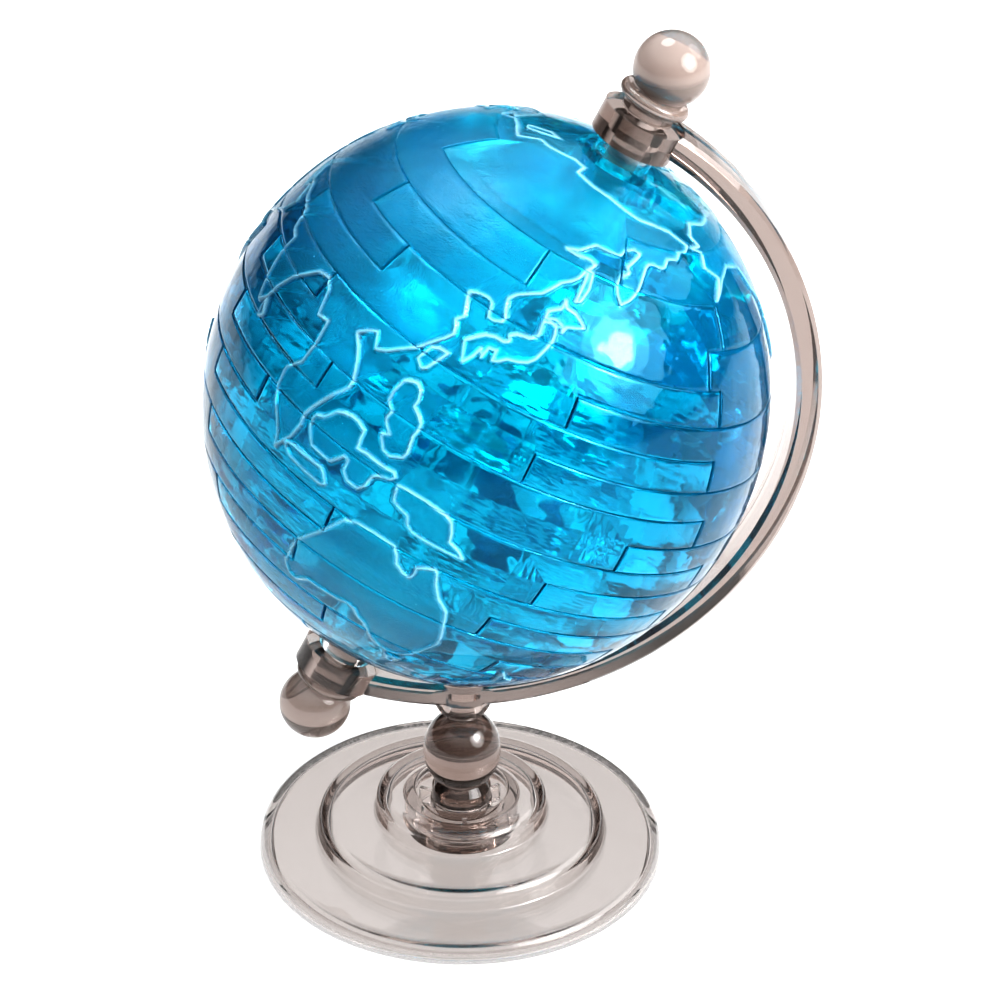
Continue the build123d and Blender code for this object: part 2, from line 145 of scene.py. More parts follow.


# %% [markdown]
# ## The map
# The land stands a fifth of a millimetre proud of the sea, and a rounded bead about half
# a millimetre high follows each coast. A coast is a list of corners in
# degrees east and north. They follow the simplified outlines moulded on the globe, so
# they are not a true map. A signed distance to the nearest coast, positive inland, then
# drives the height, so land and bead are real slopes in the mesh.

# %% Coasts, in degrees east and north
EURASIA = [
    (-9, 37), (-9, 43), (-2, 43.5), (-1, 46), (-4.5, 48.5), (2, 51), (8, 54), (8.5, 57),
    (10.5, 57.5), (10.5, 54.2), (19, 54.5), (24, 58), (29, 60), (22.5, 60.2), (21.5, 63),
    (25, 65.5), (21, 65), (17.5, 61), (18.5, 59.5), (16, 56.5), (13, 55.5), (11, 59),
    (6, 58.2), (5, 62), (13, 67), (20, 70), (28, 71), (40, 67.5), (33, 66.5), (38, 64.2),
    (44, 68), (54, 68.8), (68, 68.5), (72, 72.8), (81, 73.5), (100, 76.5), (112, 76.5),
    (113, 74), (127, 73), (140, 72.5), (160, 70), (170, 69.8), (180, 69), (190, 66.2),
    (186, 64.6), (182, 64.2), (179.5, 62.8), (176.5, 62.6), (173.7, 62.2), (172, 60.5),
    (170, 59.9), (167, 60.3), (164.5, 60.1), (163.1, 59.2), (162, 57), (161.2, 55.2),
    (160.2, 53.2), (158, 51.1), (155.5, 49.7), (153.7, 51.5), (153, 53.5), (154, 55.3),
    (156.6, 56.7), (155.3, 57.7), (157, 59), (158.8, 60.4), (160.4, 61.7), (157.7, 62.2),
    (154, 61.2), (152, 59.6), (148, 59.4), (142, 59.4), (140, 58.3), (137.5, 56.7),
    (133.3, 55.7), (137, 55.5), (142, 55.9), (144.5, 55.3), (142.3, 53.4), (141, 51.2),
    (139.4, 49.9), (137, 48.6), (135.5, 46.8), (133.7, 44.8), (131, 43.5), (128.5, 42.1),
    (127.2, 40.6), (128, 38.8), (129.2, 37.2), (129, 36.2), (127, 35.5), (125.7, 35.6),
    (125, 37), (124.5, 38.2), (123, 38.7), (120.5, 38.3), (118.5, 37.5), (119.5, 35.9),
    (121.2, 33.2), (120, 31.9), (120.8, 31.1), (121.6, 29.5), (120.5, 27.9), (118.5, 25.7),
    (117, 23.7), (114, 21.4), (112, 19.7), (109.9, 18.7), (108.1, 21.4), (106.2, 20.4),
    (104.5, 18.9), (106.7, 17), (108.1, 15.2), (109.2, 13.2), (110, 11.5), (109.9, 10),
    (109.3, 8.9), (108, 7.2), (106.8, 5), (105.5, 2.5), (104.7, 0.3), (105.1, -1.8),
    (104.3, -5), (103, -6.9), (101.6, -9.2), (101, -6.6), (99.5, -4.5), (97.2, -2),
    (95.8, 1), (95.5, 4.5), (98, 7.5), (98.3, 12), (97.5, 16.5), (94.5, 16), (92.5, 20.5),
    (90, 22), (87, 21.3), (82.3, 16.7), (80.3, 13), (79.5, 9.8), (77.5, 8), (75, 12),
    (73, 17), (72.8, 20.5), (70, 21), (67, 24.5), (61.5, 25.2), (57, 26.8), (54, 26.5),
    (50.2, 30), (48, 30), (50.5, 26.5), (54, 24.2), (56.4, 26.2), (59.7, 22.5), (57.5, 19),
    (52, 16), (45, 12.8), (43, 13), (39, 21), (35, 28), (34.3, 29.5), (34.5, 31.5),
    (36, 36.5), (30.5, 36.5), (27.5, 37), (26.5, 40), (29, 41.1), (35, 42), (41.5, 41.5),
    (37.5, 45), (39, 47), (35, 46.2), (33.5, 44.6), (31, 46.5), (28.5, 44), (28, 41.8),
    (26, 40.7), (23.5, 40.3), (23, 37), (21.5, 37), (19.4, 41.5), (13.5, 45.5), (12.5, 44),
    (18.2, 40), (16.3, 38.2), (12.5, 41.5), (9, 44.3), (4, 43.5), (3, 41.8), (-0.3, 39),
    (-2, 36.8), (-5.5, 36.1),
]
AFRICA = [
    (-6, 35.7), (10.3, 37.2), (11, 33.5), (19.8, 30.5), (25, 31.7), (32.3, 31.2),
    (32.6, 29.8), (35.5, 24), (37.3, 20.8), (39.5, 15.5), (43.2, 11.7), (51.2, 11.8),
    (47, 4.5), (41.5, -1.8), (39, -6), (40.6, -14.8), (35, -20), (35.3, -24), (32.5, -28),
    (27, -33.8), (19.8, -34.7), (18, -32), (15, -26.5), (11.8, -17.5), (13.7, -11), (9, -1),
    (9.5, 4), (4.5, 6.3), (-7.5, 4.4), (-13, 8.5), (-17.3, 14.7), (-16.5, 21), (-13, 27.6),
    (-9.7, 30),
]
AUSTRALIA = [
    (119, -17), (120.5, -14.5), (122, -12.2), (124.5, -11.2), (128.5, -10.9), (133, -11.2),
    (134.2, -12.7), (135, -14.5), (137, -15.7), (138.5, -16), (139, -14.5), (138.7, -13.2),
    (140, -12.4), (142, -11.6), (142.7, -12), (143.7, -14.5), (145.7, -17.5), (148.7, -20),
    (150.2, -24), (151.7, -28), (152, -30.5), (150.7, -34.5), (149.2, -38), (147, -40),
    (144.5, -40.6), (141.5, -40), (139, -38.5), (137, -36.5), (135.5, -34.5), (133, -33.2),
    (131.7, -31.5), (129.5, -31.1), (127, -31.7), (122, -32), (119, -32), (117.2, -33.5),
    (115.7, -34.6), (113.5, -34), (112.2, -31.5), (113.2, -27), (114.2, -23.5),
    (116.5, -20.3),
]
NORTH_AMERICA = [
    (192.3, 65.6), (199.5, 66.2), (196, 68.4), (203.5, 71.2), (219, 69.8), (232, 70),
    (246, 68), (262, 68), (264, 72), (270, 69), (279, 68), (274, 66), (266, 62),
    (265, 58.8), (275, 55.2), (279, 51.4), (281, 54.5), (283, 60), (282, 62.3), (290, 61.5),
    (295, 60), (299, 55.5), (304, 52.5), (300, 50.2), (293, 49.3), (300, 46), (294, 44),
    (289.5, 42), (286, 40.5), (284, 35.5), (279, 31.5), (280, 27), (279, 25.3), (277, 29),
    (271, 30.2), (262.5, 28), (262, 22.5), (265.5, 18.3), (269.5, 21.3), (273, 21.5),
    (271.5, 16), (277, 15), (276.5, 10.8), (283, 8.5), (279, 7.5), (276.5, 8.5), (270, 14),
    (261, 16.3), (254.5, 20), (250, 26), (246.5, 31), (247, 27), (250, 23), (243, 32),
    (239, 35), (236, 41), (236, 48), (230, 53), (226.5, 58.5), (214, 60.5), (205, 58.5),
    (196.5, 54.6), (203, 59), (195.5, 61.5), (199, 64.4),
]
SOUTH_AMERICA = [
    (283, 8.5), (288.5, 12.3), (298, 10.7), (303, 6), (310, 0.5), (320, -3.5), (325.2, -7),
    (321, -13.5), (319, -22), (311.5, -25.5), (306, -33.8), (302.5, -38), (295, -41),
    (294, -46), (291.3, -52.5), (288, -54), (285, -49), (287, -40), (288.5, -30),
    (289.7, -18.5), (284, -14), (279, -6), (279.5, -1.5), (282.5, 3.5), (281, 7.8),
]
ISLANDS = [
    # Honshu and Kyushu, then Hokkaido and Sakhalin
    [(124.2, 29.7), (126.2, 31.5), (127.5, 32.6), (129.5, 33.2), (131.6, 33.2), (132.6, 33.7),
     (132, 34.7), (133.5, 35.7), (136.5, 36.2), (137.8, 37.2), (137.6, 38.6), (137.5, 40.3),
     (139.2, 40.7), (140.7, 40.5), (141.3, 39.2), (141.5, 37.5), (140.7, 35.5), (139.7, 33.2),
     (138.5, 32), (136.5, 31.2), (134.2, 30.7), (132.7, 29.5), (131.5, 29.1), (131.2, 31.1),
     (129.6, 30.8), (129.2, 28.6), (128.2, 30), (127.6, 28), (126.3, 26), (125, 28.2)],
    [(137.2, 42.2), (138.5, 43.2), (140, 43.9), (140.3, 45.9), (141.3, 44.6), (144, 44.3),
     (146, 43.4), (147.5, 42.5), (145.8, 41.9), (143.2, 41.2), (142.6, 39.8), (142.1, 41),
     (140, 41.6), (138.4, 41.2), (137.3, 40.9)],
    [(143, 53.8), (144.6, 53.2), (145, 50), (144, 47), (142.6, 46.4), (143, 50)],
    # Taiwan, the Philippines, Borneo with Sulawesi, Java, New Guinea
    [(119.3, 25.2), (120.8, 25.9), (123, 26), (122.2, 24.3), (120.9, 21.6), (120, 21),
     (118.3, 22.2)],
    [(118.6, 17.4), (119.4, 17.9), (121.2, 18.5), (122.6, 17.6), (123.2, 16), (123.1, 14.6),
     (124.7, 13.7), (126, 12.6), (126.2, 11.3), (125.9, 9.8), (126.2, 8.4), (126.6, 6.6),
     (126.2, 5.3), (123.8, 4.1), (122.2, 4.5), (120.7, 6.4), (120.4, 7), (121.8, 7.7),
     (120.2, 9), (119.6, 10), (119.9, 11.4), (118.7, 12.3), (118.1, 13), (118, 15)],
    [(107.2, 2), (108.7, 2.6), (109.5, 3.6), (110.6, 5.1), (112, 5.8), (114, 6.3),
     (115.7, 6.1), (117.2, 5.4), (117.5, 3.5), (117.8, 1.9), (120, 2.1), (124, 1.8),
     (126.2, 2.1), (126.9, 1.4), (126.2, 0.3), (124, -0.2), (123, -1), (122.5, -3.5),
     (121.5, -4.9), (119, -4.8), (117.4, -3.5), (117.3, -1.2), (116.2, -1), (115.5, -2),
     (114, -3.8), (109.2, -3.6), (107.8, -1.8), (106.9, -0.5), (106.8, 1.2)],
    [(103.3, -6.8), (105.5, -6.1), (109, -6.1), (113, -5.9), (114, -6.5), (115.3, -8.2),
     (114.5, -8.9), (110, -8.8), (106, -8.5), (104.5, -7.8)],
    [(128, 0.2), (128.3, -1.5), (128.8, -2.9), (130.5, -3.6), (132.3, -4), (133.2, -5.8),
     (134.5, -6.6), (138, -6.9), (142.5, -7), (145.6, -6.9), (144.2, -5.7), (141.7, -4.7),
     (141.2, -2.8), (140.2, -1), (138.8, -0.2), (134, 0.4), (130, 0.5)],
    # New Zealand, Tasmania, Madagascar, Sri Lanka
    [(172.7, -34.5), (175.5, -37), (178.3, -37.8), (176.5, -40.5), (174, -42.5), (171, -45),
     (168.5, -46.8), (166.5, -46), (170, -43.5), (173, -40.8), (174.8, -39.5), (173.8, -37)],
    [(144.8, -42.6), (148, -42.3), (147.3, -45), (145.8, -44.8)],
    [(49.3, -12), (50.4, -15.8), (47.1, -25), (45.2, -25.5), (43.5, -22), (44.4, -16.2)],
    [(80, 9.5), (81.8, 7), (80.5, 6), (79.8, 8)],
    # Britain, Iceland, Greenland and the Arctic islands
    [(-5.5, 50), (1.5, 51.2), (0, 54), (-2, 57.6), (-5, 58.6), (-5.2, 54.8), (-3, 53.3)],
    [(-22, 64), (-14.5, 64.5), (-16, 66.4), (-22.5, 66.2)],
    [(287, 78.2), (300, 82.3), (325, 83.4), (345, 81.5), (340, 74), (337, 70), (320, 65.5),
     (316.5, 60), (309, 64), (306.5, 69.5), (300, 75.8)],
    [(52, 71), (57, 70.7), (68, 76.8), (58, 75.5)],
    [(280, 73), (298, 66.5), (294, 63), (286, 66)],
    [(236, 71.5), (245, 69.8), (255, 69.5), (263, 73.5), (255, 76.5), (240, 76)],
    [(272, 76.5), (283, 77), (298, 82.4), (285, 83), (268, 80)],
]
COASTS = [np.array(c, float) for c in
          (EURASIA, AFRICA, AUSTRALIA, NORTH_AMERICA, SOUTH_AMERICA, *ISLANDS)]
EAST_SHIFT = 242.0      # degrees east at longitude 0 of the globe's frame
ICE_EDGE = -71.0        # Antarctica starts here
print("coasts:", len(COASTS), "corners:", sum(len(c) for c in COASTS))

# %% Signed distance to the coast
MM_PER_DEGREE = EQUATOR_R * np.pi / 180


def inland(lon, height):
    """Distance in millimetres from a point of the globe to the nearest coast, positive on
    land: for each outline, the least distance to its sides, signed by whether a line
    northward crosses the outline an odd number of times."""
    lat = np.degrees(np.arcsin(np.clip(height / POLE_R, -1, 1)))
    best = (ICE_EDGE - lat) * MM_PER_DEGREE
    for coast in COASTS:
        middle = (coast[:, 0].min() + coast[:, 0].max()) / 2
        east = (lon + EAST_SHIFT - middle + 180) % 360 - 180 + middle
        low, high = coast.min(0) - 3, coast.max(0) + 3
        near = np.flatnonzero((east > low[0]) & (east < high[0]) & (lat > low[1]) & (lat < high[1]))
        if not len(near):
            continue
        px, py = east[near, None], lat[near, None]
        ax, ay = coast[:, 0], coast[:, 1]
        bx, by = np.roll(ax, -1), np.roll(ay, -1)
        squeeze = np.cos(np.radians(py))
        dx, dy = (bx - ax) * squeeze, by - ay
        qx, qy = (px - ax) * squeeze, py - ay
        along = np.clip((qx * dx + qy * dy) / (dx * dx + dy * dy), 0, 1)
        gap = np.sqrt(((qx - along * dx) ** 2 + (qy - along * dy) ** 2).min(1))
        crosses = ((ax > px) != (bx > px)) & (py < (by - ay) * (px - ax) / (bx - ax + 1e-12) + ay)
        signed = np.where(crosses.sum(1) % 2 == 1, gap, -gap) * MM_PER_DEGREE
        best[near] = np.maximum(best[near], signed)
    return best


LAND_RISE = 0.22
BEAD = 0.42             # height of the raised line that follows each coast
SHORE = 0.50            # half the width of that line


def land_share(lon, height):
    """Share of land from 0 at sea to 1 inland: a smooth step over the shore's width."""
    t = np.clip(inland(lon, height) / (2 * SHORE) + 0.5, 0, 1)
    return t * t * (3 - 2 * t)


def relief(share):
    """Height over the sea: the land's rise times its share, plus a rounded bead that is
    highest where the share is one half, so it runs along the coast."""
    return LAND_RISE * share + BEAD * 4 * share * (1 - share)


print("land at Cape York:", round(float(land_share(np.array([142.0 - 242]), np.array([-9.5]))[0]), 2))

# %% [markdown]
# ## Making meshes
# Every new piece is a grid of points: rows follow the longitude, columns go once round
# the section. A row may repeat at the same longitude with another section, which makes
# an upright wall there. Points that fall together are merged afterwards, so the closed
# skin has no spare faces, and its normals are then turned outwards.

# %% Mesh helpers
GRAIN = np.random.default_rng(7)
GRAIN_SIZE = 0.006       # millimetres of roughness moulded into the land
NO_EDGE = 9.0            # stands for an edge too far away to matter


def triangles(pieces):
    """Triangles of some pieces: a face with n corners makes n less two."""
    return sum(len(p.data.loops) - 2 * len(p.data.polygons) for p in pieces)


def finish_mesh(name, points, faces, land=None, smooth=38):
    """A mesh object from an array of points in metres, a list of faces and the share of
    land at each point; the coast is strongest where that share is one half."""
    mesh = bpy.data.meshes.new(name)
    mesh.from_pydata(points.tolist(), [], faces)
    if land is not None:
        share = land.ravel().astype(np.float32)
        for layer, value in (("land", share), ("coast", 4 * share * (1 - share))):
            mesh.attributes.new(layer, "FLOAT", "POINT").data.foreach_set("value", value)
    work = bmesh.new()
    work.from_mesh(mesh)
    bmesh.ops.remove_doubles(work, verts=work.verts, dist=2e-7)
    bmesh.ops.dissolve_degenerate(work, edges=work.edges, dist=1e-8)
    bmesh.ops.recalc_face_normals(work, faces=work.faces)
    work.to_mesh(mesh)
    work.free()
    mesh.polygons.foreach_set("use_smooth", np.ones(len(mesh.polygons), bool))
    mesh.set_sharp_from_angle(angle=radians(smooth))
    piece = bpy.data.objects.new(name, mesh)
    bpy.context.scene.collection.objects.link(piece)
    return piece


def grid_faces(rows, columns, round_rows=False):
    """Quads between neighbouring points of a grid whose columns close on themselves."""
    last = rows if round_rows else rows - 1
    i, j = np.meshgrid(np.arange(last), np.arange(columns), indexing="ij")
    i2, j2 = (i + 1) % rows, (j + 1) % columns
    quads = np.stack([i * columns + j, i2 * columns + j, i2 * columns + j2, i * columns + j2], -1)
    return quads.reshape(-1, 4).tolist()


def edge_drop(distance):
    """How far a rounded edge falls below the surface: a quarter circle of the edge's round."""
    inside = np.clip(EDGE_ROUND - distance, 0, EDGE_ROUND)
    return EDGE_ROUND - np.sqrt(EDGE_ROUND ** 2 - inside ** 2)


EDGE_STEPS = np.array([0, 0.04, 0.13, EDGE_ROUND])
RISE = np.concatenate([
    EDGE_STEPS, np.linspace(EDGE_ROUND, PITCH - EDGE_ROUND, 18)[1:-1], PITCH - EDGE_STEPS[::-1]
])
ROW_STEP = 0.22          # millimetres between rows on the surface


def row_places(breaks, radius):
    """Longitudes of the rows: even steps between the breaks, closer beside each break."""
    near = np.degrees(EDGE_STEPS[1:] / radius)
    spots = [np.array(breaks)]
    for a, b in zip(breaks[:-1], breaks[1:]):
        if b - a > 4 * near[-1]:
            count = max(2, int(np.ceil((b - a - 2 * near[-1]) * radius * np.pi / 180 / ROW_STEP)))
            spots += [a + near, b - near, np.linspace(a + near[-1], b - near[-1], count + 1)]
    return np.unique(np.round(np.concatenate(spots), 6))


def rows_with_states(lons, state_of):
    """Rows in order: a longitude comes twice where the section changes there."""
    states = [state_of(m) for m in (lons[:-1] + lons[1:]) / 2]
    rows = [(lons[0], states[0])]
    for k in range(1, len(lons) - 1):
        rows.append((lons[k], states[k - 1]))
        if states[k] != states[k - 1]:
            rows.append((lons[k], states[k]))
    rows.append((lons[-1], states[-1]))
    return np.array([r[0] for r in rows]), np.array([r[1] for r in rows])


# %% [markdown]
# ## A ring piece
# Each piece is two rings high, and its upper ring is shifted along from its lower one,
# so neighbours hook together. It is a solid block, deep enough that light entering the
# face is thrown about between the flat sides. That gives the bright and dark windows
# of a crystal puzzle, so the hidden sides are modelled too. Pegs and sockets are not.

# %% The ring piece as a surface
def ring_piece(name, low_ring, low_span, high_span):
    """Closed skin of a piece. The section goes up the outside, in along the top, down the
    inside and out along the bottom. Radius outside is the globe's radius, less the edge's
    round, plus the land's rise; where a ring is absent its points fall on the lip."""
    bottom, middle, top = low_ring * PITCH, (low_ring + 1) * PITCH, (low_ring + 2) * PITCH
    mid_r = [surface_r((low_ring + 0.5) * PITCH), surface_r((low_ring + 1.5) * PITCH)]
    inner = [r - RING_DEPTH for r in mid_r]
    spans = (low_span, high_span)
    lons = row_places(sorted({*low_span, *high_span}), max(mid_r))
    lon, state = rows_with_states(lons, lambda x: tuple(s[0] < x < s[1] for s in spans))
    low, high = state[:, [0]].astype(bool), state[:, [1]].astype(bool)
    lip_r = surface_r(middle) - EDGE_ROUND
    radii, heights, lands = [], [], []
    for k, (start, here, other) in enumerate(((bottom, low, high), (middle, high, low))):
        inward_rise = PITCH - RISE if k == 0 else RISE
        h = start + np.clip(RISE, AIR * (1 - k), PITCH - AIR * k)[None, :] + 0 * lon[:, None]
        to_end = np.minimum(lon - spans[k][0], spans[k][1] - lon)[:, None]
        to_end = np.clip(np.radians(to_end) * mid_r[k], 0, None)
        nearest = np.minimum(PITCH - inward_rise, np.where(other, NO_EDGE, inward_rise[None, :]))
        nearest = np.minimum(nearest, to_end)
        land = land_share(np.repeat(lon, len(RISE)), h.ravel()).reshape(h.shape)
        grain = GRAIN.normal(0, GRAIN_SIZE, h.shape) * (land > 0.9) * (nearest > EDGE_ROUND)
        r = surface_r(h) - edge_drop(nearest) + relief(land) + grain
        radii.append(np.where(here, r, lip_r))
        heights.append(np.where(here, h, middle))
        lands.append(np.where(here, land, 0.0))
    for ring, here, h in ((1, high, top - AIR), (1, high, middle), (0, low, middle),
                          (0, low, bottom + AIR)):
        radii.append(np.where(here, inner[ring], inner[1 - ring]) + 0.0 * lon[:, None])
        heights.append(np.where(here, h, middle))
        lands.append(np.zeros((len(lon), 1)))
    radius, height, land = (np.concatenate(part, 1) for part in (radii, heights, lands))
    points = place(radius, height, np.broadcast_to(lon[:, None], radius.shape))
    rows, columns = radius.shape
    faces = grid_faces(rows, columns)
    faces += [list(range(columns)), list(range((rows - 1) * columns, rows * columns))[::-1]]
    return finish_mesh(name, points.reshape(-1, 3), faces, land)


globe_pieces = []
for column, side_name in enumerate(("front", "right", "back", "left")):
    first_ring = -8 if column % 2 == 0 else -9
    for number, low_ring in enumerate(range(first_ring, 8, 2), start=1):
        node = f"{side_name}_layer_{number}"
        piece = ring_piece(f"{node}_moulding", low_ring, column_span(low_ring, column),
                           column_span(low_ring + 1, column))
        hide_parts(node)
        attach(piece, "globe")
        globe_pieces.append(piece)
print("ring pieces:", len(globe_pieces), "triangles:", triangles(globe_pieces))

# %% [markdown]
# ## Polar caps
# A dome closes each pole. It covers the last ring all round, and one more ring in front
# and behind, where its skirt hooks over the pieces at the sides. A short hub in its
# middle slides over the clear tube.

# %% The polar cap as a surface
HUB_BORE, HUB_R = 4.42, 6.6
DOME_ROWS = 44
RIM_INNER = 13.9         # inner radius of the cap's flat rim where the skirt is absent
CROWN_FADE = 1.5         # millimetres over which the land fades out at the crown


def polar_cap(name, side):
    """Closed skin of a cap, as rings of points round the axis: up the outside to the crown,
    down the hub's bore, and back under the dome. Where the skirt is absent its points fall
    on the lip. The southern cap is the same surface with its heights negative."""
    edge_ring = 8 if side > 0 else -9
    low, step = 8 * PITCH + AIR, 9 * PITCH
    crown_r = HUB_BORE + 0.5
    crown_h = POLE_R * np.sqrt(1 - (crown_r / EQUATOR_R) ** 2)
    dome = POLE_R * np.sin(np.linspace(
        np.arcsin(step / POLE_R), np.arcsin(crown_h / POLE_R), DOME_ROWS))
    lips = []
    for column in (1, 3):
        start = joint(edge_ring, column)
        end = joint(edge_ring, column + 1) if column < 3 else joint(edge_ring, 0) + 360
        play = np.degrees(JOINT_GAP / 2 / surface_r(8.5 * PITCH))
        lips.append((start - play, end + play))
    (a0, a1), (b0, b1) = lips
    lons = row_places([a0, a1, b0, b1, a0 + 360], surface_r(8.5 * PITCH))
    lon, state = rows_with_states(lons, lambda x: (not (a0 < x < a1 or b0 < x < b1),))
    skirt = state[:, :1].astype(bool)
    ends = np.abs(lon[:, None] - np.array([a0, a1, b0, b1, a0 + 360])[None, :]).min(1)[:, None]
    to_end = np.radians(ends) * surface_r(8.5 * PITCH)
    rise = np.clip(RISE, AIR, None)
    h = 8 * PITCH + rise[None, :] + 0 * lon[:, None]
    nearest = np.minimum(RISE[None, :], to_end)
    shape = h.shape
    land = land_share(np.broadcast_to(lon[:, None], shape).ravel(), side * h.ravel()).reshape(shape)
    r = surface_r(h) - edge_drop(nearest) + relief(land)
    lip_r = surface_r(step) - EDGE_ROUND
    skirt_r, skirt_h = np.where(skirt, r, lip_r), np.where(skirt, h, step)
    h2 = dome[None, :] + 0 * lon[:, None]
    shape = h2.shape
    land2 = land_share(np.broadcast_to(lon[:, None], shape).ravel(), side * h2.ravel()).reshape(shape)
    land2 = land2 * np.clip((surface_r(h2) - crown_r) / CROWN_FADE, 0, 1)
    drop = np.where(skirt, 0.0, edge_drop(h2 - step))
    r2 = surface_r(h2) - drop + relief(land2)
    under = (
        (HUB_BORE, crown_h, HUB_BORE, crown_h), (HUB_BORE, low, HUB_BORE, low),
        (HUB_R, low, HUB_R, low), (HUB_R, crown_h - 1.6, HUB_R, crown_h - 1.6),
        (surface_r(9.3 * PITCH) - SKIN - 1.0, 9.3 * PITCH - 0.8) * 2,
        (surface_r(step) - SKIN - 0.9, step - 0.4, RIM_INNER, step),
        (surface_r(low) - SKIN - 1.6, low, RIM_INNER, step),
    )
    under_r = np.concatenate([np.where(skirt, u[0], u[2]) for u in under], 1)
    under_h = np.concatenate([np.where(skirt, u[1], u[3]) for u in under], 1)
    radius = np.concatenate([skirt_r, r2, under_r], 1)
    height = np.concatenate([skirt_h, h2, under_h], 1) * side
    all_land = np.concatenate([np.where(skirt, land, 0), land2, 0 * under_r], 1)
    points = place(radius, height, np.broadcast_to(lon[:, None], radius.shape))
    rows, columns = radius.shape
    return finish_mesh(name, points.reshape(-1, 3), grid_faces(rows, columns, round_rows=True),
                       all_land)


for node, side_of_globe in (("north_cap", 1), ("south_cap", -1)):
    piece = polar_cap(f"{node}_moulding", side_of_globe)
    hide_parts(node)
    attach(piece, "globe")
    globe_pieces.append(piece)
print("caps done, triangles:", triangles(globe_pieces[-2:]))

# %% [markdown]
# ## The stepped base
# The base is one thin clear shell with three steps, turned round the upright axis. Its
# shoulders are rounded outside and inside alike, and those two curves are what draw the
# double dark lines round each step. A turned section keeps them perfectly round, and
# the six ribs in the cup are small blocks in the same mesh, sunk a little into the wall.

# %% The base as a turned section
def rounded(corners, steps=9):
    """A section with its corners rounded: each corner, given as radius, height and round,
    becomes an arc that starts and ends at the round over the tangent of half the corner."""
    line = []
    for k, (x, y, size) in enumerate(corners):
        here = np.array([x, y])
        if size == 0 or k in (0, len(corners) - 1):
            line.append(here[None, :])
            continue
        before = unit(np.array(corners[k - 1][:2]) - here)
        after = unit(np.array(corners[k + 1][:2]) - here)
        half = np.arccos(np.clip(before @ after, -1, 1)) / 2
        middle = here + unit(before + after) * size / np.sin(half)
        first, last = here + before * size / np.tan(half), here + after * size / np.tan(half)
        a, b = (np.arctan2(*(spot - middle)[::-1]) for spot in (first, last))
        turn_by = (b - a + np.pi) % (2 * np.pi) - np.pi
        angle = a + turn_by * np.linspace(0, 1, steps)
        line.append(middle + size * np.stack([np.cos(angle), np.sin(angle)], 1))
    return np.concatenate(line)


def turned(section, segments=240):
    """Points and faces of a closed section turned round the upright axis: at each angle the
    section's radius goes along the turned direction and its height stays."""
    angle = np.linspace(0, 2 * np.pi, segments, endpoint=False)[:, None]
    points = np.stack([section[:, 0] * np.cos(angle), section[:, 0] * np.sin(angle),
                       section[:, 1] + 0 * angle], -1).reshape(-1, 3) * MM
    return points, grid_faces(segments, len(section), round_rows=True)


# Corners of the closed section as radius, height and round: the socket, the cup, the
# three steps outside, then back under the steps and the cup
BASE_SECTION = [
    (0, 2.9, 0), (3.22, 2.9, 0), (3.22, 9.2, 0.25), (4.9, 9.2, 0.25), (4.9, 5.6, 0.4),
    (7.3, 5.6, 0.5), (7.3, 10.9, 0.4), (13.3, 10.9, 2.0), (13.7, 6.7, 0.5), (22.5, 6.7, 2.0),
    (23.0, 3.2, 0.5), (31.7, 3.2, 2.0), (32.2, 0, 0.25), (30.4, 0, 0.25), (30.2, 1.4, 0.5),
    (21.2, 1.4, 1.2), (21.0, 4.9, 0.6), (11.9, 4.9, 1.2), (11.7, 9.1, 0.8), (8.9, 9.1, 0.6),
    (8.9, 4.0, 0.4), (4.9, 4.0, 0.4), (4.9, 1.25, 0.2), (0, 1.25, 0),
]
RIBS = 6
RIB_FROM, RIB_TO = 4.8, 7.4         # radii between which a rib lies
RIB_HALF = 0.4                      # half its thickness
RIB_FOOT, RIB_TOP = 5.5, 8.4
points, faces = turned(rounded(BASE_SECTION))
rib_angle = np.radians(np.arange(RIBS) * 60 + 30)[:, None]
corner_r = np.array([RIB_FROM, RIB_TO, RIB_TO, RIB_FROM] * 2)
corner_w = np.array([-RIB_HALF, -RIB_HALF, RIB_HALF, RIB_HALF] * 2)
corner_h = np.array([RIB_FOOT] * 4 + [RIB_TOP] * 4) + 0 * rib_angle
ribs = np.stack([corner_r * np.cos(rib_angle) - corner_w * np.sin(rib_angle),
                 corner_r * np.sin(rib_angle) + corner_w * np.cos(rib_angle),
                 corner_h], -1).reshape(-1, 3) * MM
box_faces = [(0, 3, 2, 1), (4, 5, 6, 7), (0, 1, 5, 4), (1, 2, 6, 5), (2, 3, 7, 6), (3, 0, 4, 7)]
faces += [[len(points) + 8 * rib + c for c in face] for rib in range(RIBS) for face in box_faces]
base = finish_mesh("base_shell_moulding", np.concatenate([points, ribs]), faces)
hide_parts("base_shell")
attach(base, "stand")
print("base triangles:", triangles([base]))

# %% [markdown]
# ## Materials
# All the plastics are clear and glossy. Their colour comes mostly from the light they
# take up on the way through, so a thick part is darker than a thin one. That is what
# Volume Absorption does. Most of them also have a share of cloudy body mixed in, which
# evens out what shows through. The land of the globe is moulded with a fine matt
# grain, which a noise adds to the roughness and the bump where the mesh says there is
# land. Along the coast beads the body is paler and takes a larger share, a painted
# highlight that makes the coast lines show bright.

# %% Node helpers
def new_material(name):
    material = bpy.data.materials.new(name)
    material.use_nodes = True
    tree = material.node_tree
    tree.nodes.clear()
    out = tree.nodes.new("ShaderNodeOutputMaterial")
    shader = tree.nodes.new("ShaderNodeBsdfPrincipled")
    tree.links.new(shader.outputs[0], out.inputs["Surface"])
    return material, tree, shader, out


def add_node(tree, kind, inputs=None, **settings):
    node = tree.nodes.new(kind)
    for key, value in settings.items():
        setattr(node, key, value)
    for key, value in (inputs or {}).items():
        if isinstance(value, bpy.types.NodeSocket):
            tree.links.new(value, node.inputs[key])
        else:
            node.inputs[key].default_value = value
    return node


def absorb(tree, out, colour, density):
    volume = add_node(tree, "ShaderNodeVolumeAbsorption",
                      {"Color": (*colour, 1), "Density": density})
    tree.links.new(volume.outputs[0], out.inputs["Volume"])


